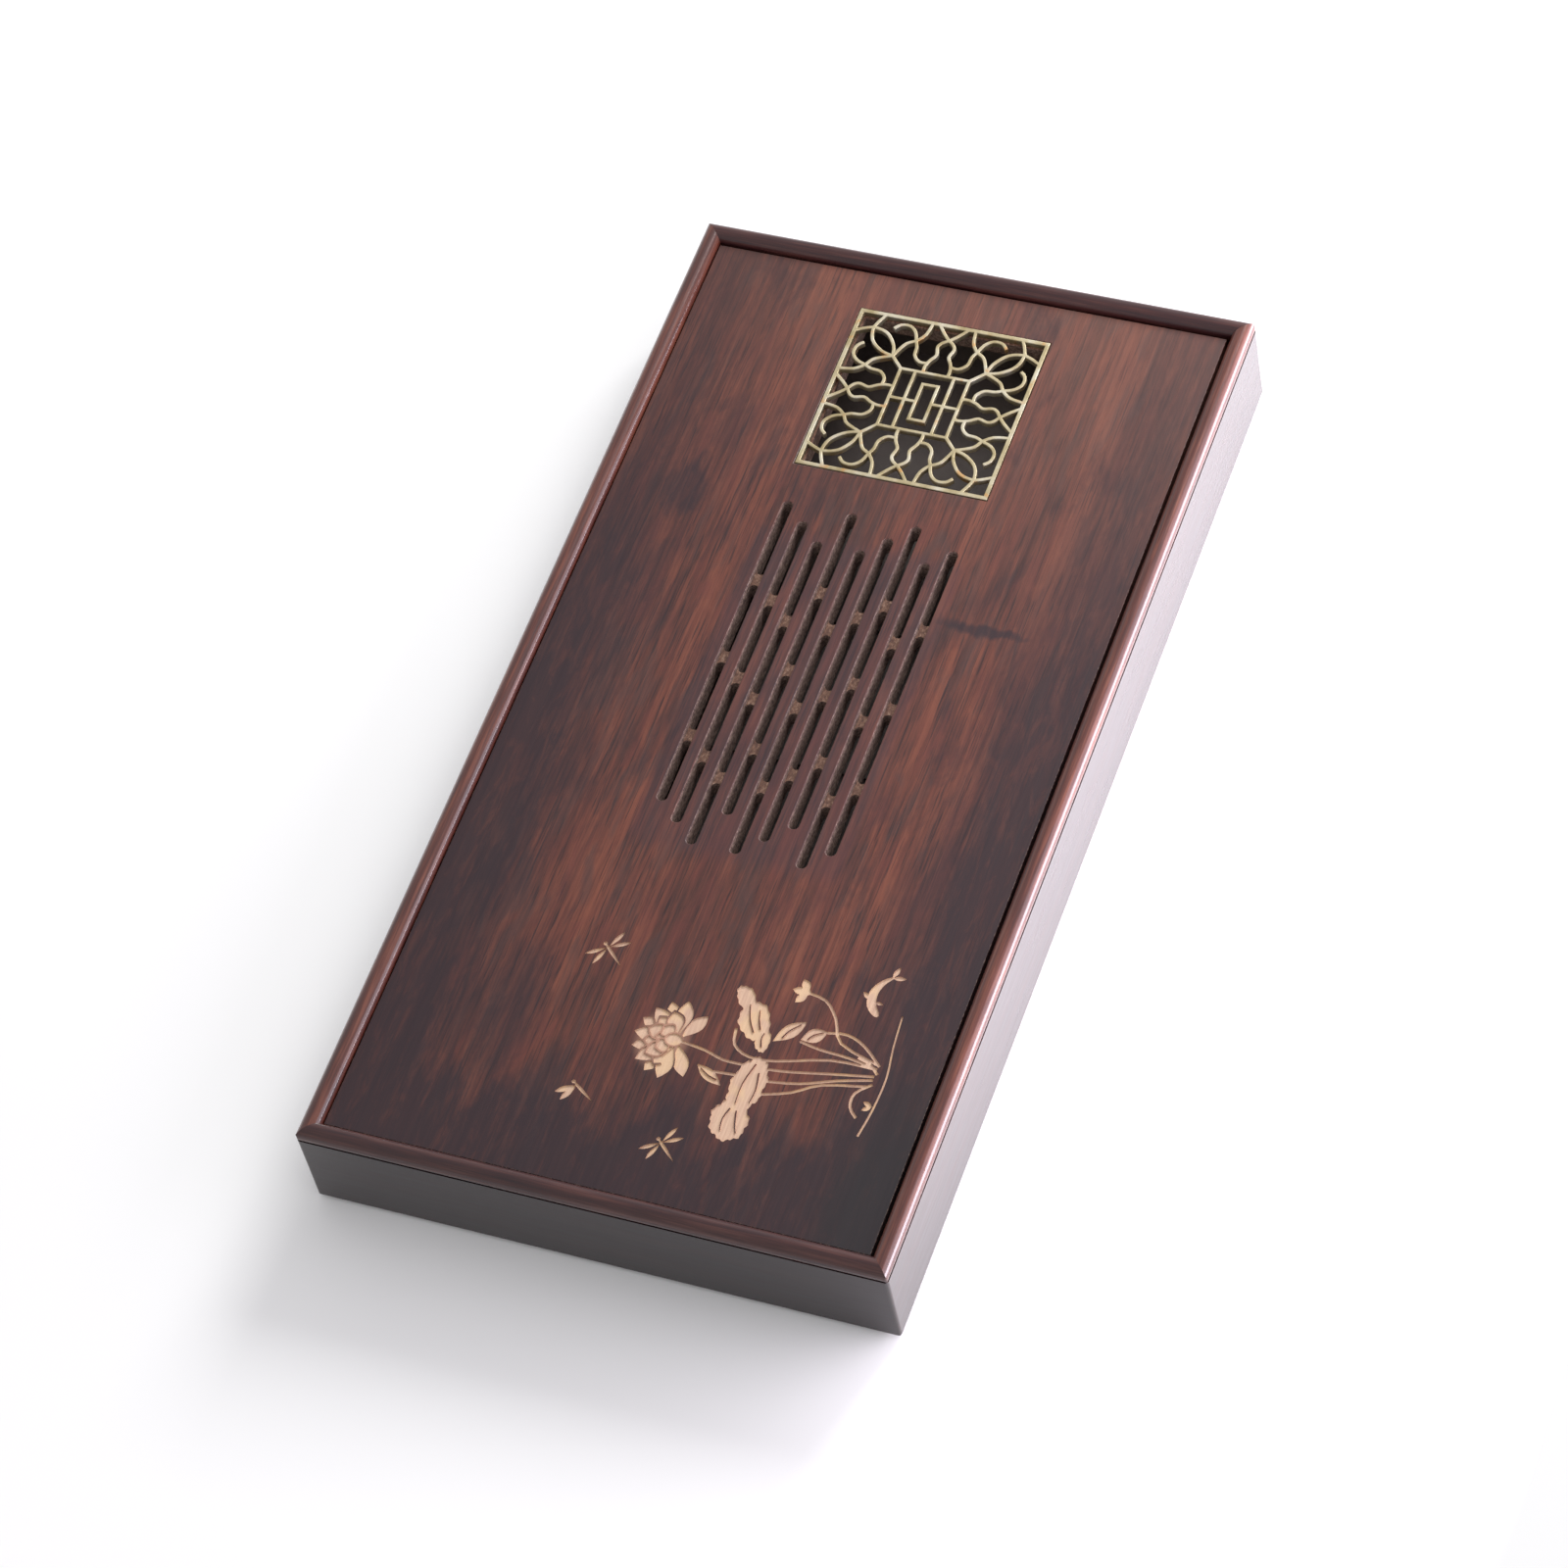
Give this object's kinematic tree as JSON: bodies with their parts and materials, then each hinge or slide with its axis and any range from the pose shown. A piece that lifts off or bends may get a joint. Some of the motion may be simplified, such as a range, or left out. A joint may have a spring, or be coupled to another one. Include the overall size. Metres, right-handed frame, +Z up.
{
  "type": "tea tray",
  "caption": "Low rectangular tea tray: a beaded dark bamboo case, a loose slotted deck with a square brass drain grille, and a lift-out water tray under it.",
  "frame": {"origin": "middle of the tray's footprint, on the surface that it stands on", "axes": "+Z up, +X along the tray towards the end with the brass grille, -Y towards the long side that the engraved scene stands on"},
  "size_m": [0.346, 0.18, 0.036],
  "materials": {
    "case_bamboo": "dark stained bamboo under satin lacquer",
    "deck_bamboo": "carbonised bamboo, brown stain, satin lacquer",
    "raw_bamboo": "planed carbonised bamboo, thinly sealed",
    "tray_plastic": "moulded dark grey-brown plastic, fine texture",
    "brass": "satin, with rounded edges",
    "screw_steel": "zinc plated",
    "foot_rubber": "matt moulded rubber"
  },
  "bodies": {
    "case": {"rail_front": "case_bamboo", "rail_back": "case_bamboo", "rail_left": "case_bamboo", "rail_right": "case_bamboo", "corner_splines": "raw_bamboo", "bottom_board": "raw_bamboo", "foot_front_left": "foot_rubber", "foot_front_right": "foot_rubber", "foot_back_left": "foot_rubber", "foot_back_right": "foot_rubber", "ledge_front": "raw_bamboo", "ledge_back": "raw_bamboo", "ledge_left": "raw_bamboo", "ledge_right": "raw_bamboo"},
    "water_tray": {"water_tray": "tray_plastic"},
    "deck": {"deck_panel": "deck_bamboo", "batten_left": "raw_bamboo", "batten_right": "raw_bamboo", "batten_screws": "screw_steel"},
    "grille": {"drain_grille": "brass"}
  },
  "joints": [
    {"name": "water_tray_lift", "type": "slide", "parent": "case", "child": "water_tray", "axis": [0, 0, 1], "range_m": [0, 0.05]},
    {"name": "deck_lift", "type": "slide", "parent": "water_tray", "child": "deck", "axis": [0, 0, 1], "range_m": [0, 0.05]},
    {"name": "grille_lift", "type": "slide", "parent": "deck", "child": "grille", "axis": [0, 0, 1], "range_m": [0, 0.015]}
  ]
}
